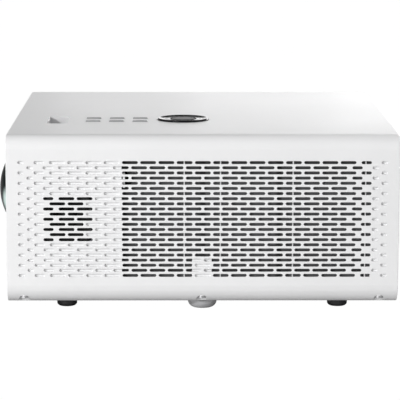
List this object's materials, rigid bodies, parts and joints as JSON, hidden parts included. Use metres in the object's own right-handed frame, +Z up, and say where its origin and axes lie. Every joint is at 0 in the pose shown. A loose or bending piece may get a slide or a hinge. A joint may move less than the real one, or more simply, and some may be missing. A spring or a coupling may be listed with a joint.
{
  "type": "projector with built-in disc player",
  "caption": "White box-shaped home projector with a slotted vent and loudspeaker side, lens at the front, keys and a dial on top, and a motorised disc tray in the far side.",
  "frame": {"origin": "on the table, under the middle of the object's box", "axes": "+X along the lens axis towards the rear panel, so the lens looks along -X; the disc tray slides out towards +Y; +Z up"},
  "size_m": [0.2606, 0.262, 0.1157],
  "materials": {
    "white_shell": "satin white moulded plastic",
    "white_inner": "plain white moulded plastic",
    "black_rubber": "matt black rubber",
    "bright_steel": "plated steel",
    "filter_mesh": "charcoal foam sheet",
    "grey_foot": "mid grey plastic",
    "grey_key": "grey key caps",
    "gloss_black": "polished black plastic",
    "grey_button": "dark grey button",
    "circuit_board": "green lacquered board",
    "power_circuit": "brown board",
    "lens_black": "black lens barrel",
    "coated_glass": "coated lens glass with a green sheen",
    "clear_optics": "clear optics",
    "engine_black": "black light-tight plastic",
    "led_copper": "copper plate with a light source",
    "mirror": "front-silvered mirror",
    "fin_aluminium": "extruded aluminium",
    "fan_black": "black fan plastic",
    "speaker_black": "black paper cone",
    "speaker_steel": "dark pressed steel",
    "loader_grey": "dark grey plastic",
    "socket_black": "black socket plastic",
    "socket_metal": "plated socket shells"
  },
  "bodies": {
    "case": {"lower_case": "white_shell", "top_cover": "white_shell", "near_side_panel": "white_shell", "far_side_panel": "white_shell", "front_panel": "white_shell", "rear_panel": "white_shell", "case_screws": "bright_steel", "rubber_feet": "black_rubber", "dust_filter": "filter_mesh", "filter_frame": "white_inner", "key_board": "circuit_board", "ir_window": "gloss_black", "optical_case": "engine_black", "optical_lid": "engine_black", "led_module": "led_copper", "condenser_lens": "clear_optics", "fresnel_lenses": "clear_optics", "lcd_panel": "engine_black", "fold_mirror": "mirror", "heat_sink": "fin_aluminium", "fan_frames": "fan_black", "speaker_basket": "speaker_steel", "speaker_cone": "speaker_black", "loader_frame": "loader_grey", "loader_cover": "bright_steel", "drive_belt": "black_rubber", "loading_motor": "bright_steel", "main_board": "circuit_board", "power_board": "power_circuit", "mains_inlet": "socket_black", "av_sockets": "socket_metal"},
    "tray": {"disc_tray": "loader_grey", "tray_front": "white_shell"},
    "drive_gear": {"drive_gear": "white_inner"},
    "pulley_gear": {"pulley_gear": "white_inner"},
    "motor_pulley": {"motor_pulley": "white_inner"},
    "traverse": {"traverse_deck": "bright_steel", "guide_rods": "bright_steel"},
    "cam_slider": {"cam_slider": "white_inner"},
    "spindle": {"turntable": "bright_steel"},
    "pickup": {"pickup_sled": "loader_grey"},
    "lead_screw": {"lead_screw": "bright_steel"},
    "clamp_puck": {"clamp_puck": "white_inner"},
    "focus_ring": {"focus_ring": "lens_black"},
    "lens": {"lens_barrel": "lens_black", "lens_glasses": "coated_glass"},
    "intake_rotor_a": {"intake_rotor_a": "fan_black"},
    "intake_rotor_b": {"intake_rotor_b": "fan_black"},
    "exhaust_rotor": {"exhaust_rotor": "fan_black"},
    "dial_boot": {"dial_boot": "black_rubber"},
    "dial_ring": {"dial_ring": "gloss_black"},
    "ok_button": {"ok_button": "grey_button"},
    "foot_pad": {"foot_pad": "black_rubber"},
    "foot_screw": {"foot_screw": "grey_foot"},
    "power_key": {"power_key": "grey_key"},
    "source_key": {"source_key": "grey_key"},
    "menu_key": {"menu_key": "grey_key"},
    "eject_key": {"eject_key": "grey_key"},
    "play_key": {"play_key": "grey_key"},
    "volume_key": {"volume_key": "grey_key"}
  },
  "joints": [
    {"name": "tray_slide", "type": "slide", "parent": "case", "child": "tray", "axis": [0, 1, 0], "range_m": [0, 0.13]},
    {"name": "drive_gear_turn", "type": "hinge", "parent": "case", "child": "drive_gear", "pos_m": [-0.0437, 0.112, 0.0095], "axis": [0, 0, 1], "range_deg": [-831, 0]},
    {"name": "pulley_gear_turn", "type": "hinge", "parent": "case", "child": "pulley_gear", "pos_m": [-0.0247, 0.112, 0.0095], "axis": [0, 0, 1], "range_deg": [0, 2325]},
    {"name": "motor_pulley_turn", "type": "hinge", "parent": "case", "child": "motor_pulley", "pos_m": [0.0073, 0.112, 0.0095], "axis": [0, 0, 1], "range_deg": [0, 5339]},
    {"name": "traverse_lift", "type": "hinge", "parent": "case", "child": "traverse", "pos_m": [0.0053, -0.0199, 0.0192], "axis": [1, 0, 0], "range_deg": [-3.5, 0]},
    {"name": "cam_slide", "type": "slide", "parent": "case", "child": "cam_slider", "axis": [1, 0, 0], "range_m": [0, 0.01205]},
    {"name": "spindle_turn", "type": "hinge", "parent": "traverse", "child": "spindle", "pos_m": [0.0053, 0.0641, 0.0265], "axis": [0, 0, 1], "continuous": true},
    {"name": "clamp_puck_turn", "type": "hinge", "parent": "case", "child": "clamp_puck", "pos_m": [0.0053, 0.0641, 0.0295], "axis": [0, 0, 1], "continuous": true},
    {"name": "pickup_slide", "type": "slide", "parent": "traverse", "child": "pickup", "axis": [0, -1, 0], "range_m": [0, 0.033]},
    {"name": "lead_screw_turn", "type": "hinge", "parent": "traverse", "child": "lead_screw", "pos_m": [0.0303, 0.0206, 0.0165], "axis": [0, 1, 0], "range_deg": [0, 3970]},
    {"name": "focus_turn", "type": "hinge", "parent": "case", "child": "focus_ring", "pos_m": [-0.0907, -0.046, 0.0686], "axis": [1, 0, 0], "range_deg": [-60, 60]},
    {"name": "lens_slide", "type": "slide", "parent": "case", "child": "lens", "axis": [-1, 0, 0], "range_m": [-0.0021, 0.0021]},
    {"name": "intake_rotor_a_turn", "type": "hinge", "parent": "case", "child": "intake_rotor_a", "pos_m": [-0.008, -0.114, 0.061], "axis": [0, 1, 0], "continuous": true},
    {"name": "intake_rotor_b_turn", "type": "hinge", "parent": "case", "child": "intake_rotor_b", "pos_m": [0.074, -0.114, 0.061], "axis": [0, 1, 0], "continuous": true},
    {"name": "exhaust_rotor_turn", "type": "hinge", "parent": "case", "child": "exhaust_rotor", "pos_m": [0.1183, 0.06, 0.07], "axis": [1, 0, 0], "continuous": true},
    {"name": "power_key_press", "type": "slide", "parent": "case", "child": "power_key", "axis": [0, 0, -1], "range_m": [0, 0.0004], "stiffness_N_per_m": 200, "springref_m": -0.004},
    {"name": "source_key_press", "type": "slide", "parent": "case", "child": "source_key", "axis": [0, 0, -1], "range_m": [0, 0.0004], "stiffness_N_per_m": 200, "springref_m": -0.004},
    {"name": "menu_key_press", "type": "slide", "parent": "case", "child": "menu_key", "axis": [0, 0, -1], "range_m": [0, 0.0004], "stiffness_N_per_m": 200, "springref_m": -0.004},
    {"name": "eject_key_press", "type": "slide", "parent": "case", "child": "eject_key", "axis": [0, 0, -1], "range_m": [0, 0.0004], "stiffness_N_per_m": 200, "springref_m": -0.004},
    {"name": "play_key_press", "type": "slide", "parent": "case", "child": "play_key", "axis": [0, 0, -1], "range_m": [0, 0.0004], "stiffness_N_per_m": 200, "springref_m": -0.004},
    {"name": "volume_key_press", "type": "slide", "parent": "case", "child": "volume_key", "axis": [0, 0, -1], "range_m": [0, 0.0004], "stiffness_N_per_m": 200, "springref_m": -0.004},
    {"name": "dial_tilt_x", "type": "hinge", "parent": "case", "child": "dial_boot", "pos_m": [-0.0071, -0.0454, 0.111], "axis": [1, 0, 0], "range_deg": [-2, 2], "stiffness_Nm_per_rad": 0.3},
    {"name": "dial_tilt_y", "type": "hinge", "parent": "dial_boot", "child": "dial_ring", "pos_m": [-0.0071, -0.0454, 0.111], "axis": [0, 1, 0], "range_deg": [-2, 2], "stiffness_Nm_per_rad": 0.3},
    {"name": "ok_press", "type": "slide", "parent": "case", "child": "ok_button", "axis": [0, 0, -1], "range_m": [0, 0.0004], "stiffness_N_per_m": 200, "springref_m": -0.004},
    {"name": "foot_extend", "type": "slide", "parent": "case", "child": "foot_pad", "axis": [0, 0, -1], "range_m": [0, 0.01]},
    {"name": "foot_turn", "type": "hinge", "parent": "foot_pad", "child": "foot_screw", "pos_m": [0.0053, -0.111, 0.003], "axis": [0, 0, 1], "range_deg": [0, 3610]}
  ],
  "couplings": [
    {"joint": "drive_gear_turn", "follows": "tray_slide", "rad_per_m": -111.11},
    {"joint": "pulley_gear_turn", "follows": "tray_slide", "rad_per_m": 311.11},
    {"joint": "motor_pulley_turn", "follows": "tray_slide", "rad_per_m": 714.71},
    {"joint": "cam_slide", "follows": "traverse_lift", "m_per_rad": -0.19644},
    {"joint": "clamp_puck_turn", "follows": "spindle_turn", "ratio": 1},
    {"joint": "lead_screw_turn", "follows": "pickup_slide", "rad_per_m": 2094.4},
    {"joint": "lens_slide", "follows": "focus_turn", "m_per_rad": 0.0019099},
    {"joint": "foot_turn", "follows": "foot_extend", "rad_per_m": 6283.2}
  ]
}
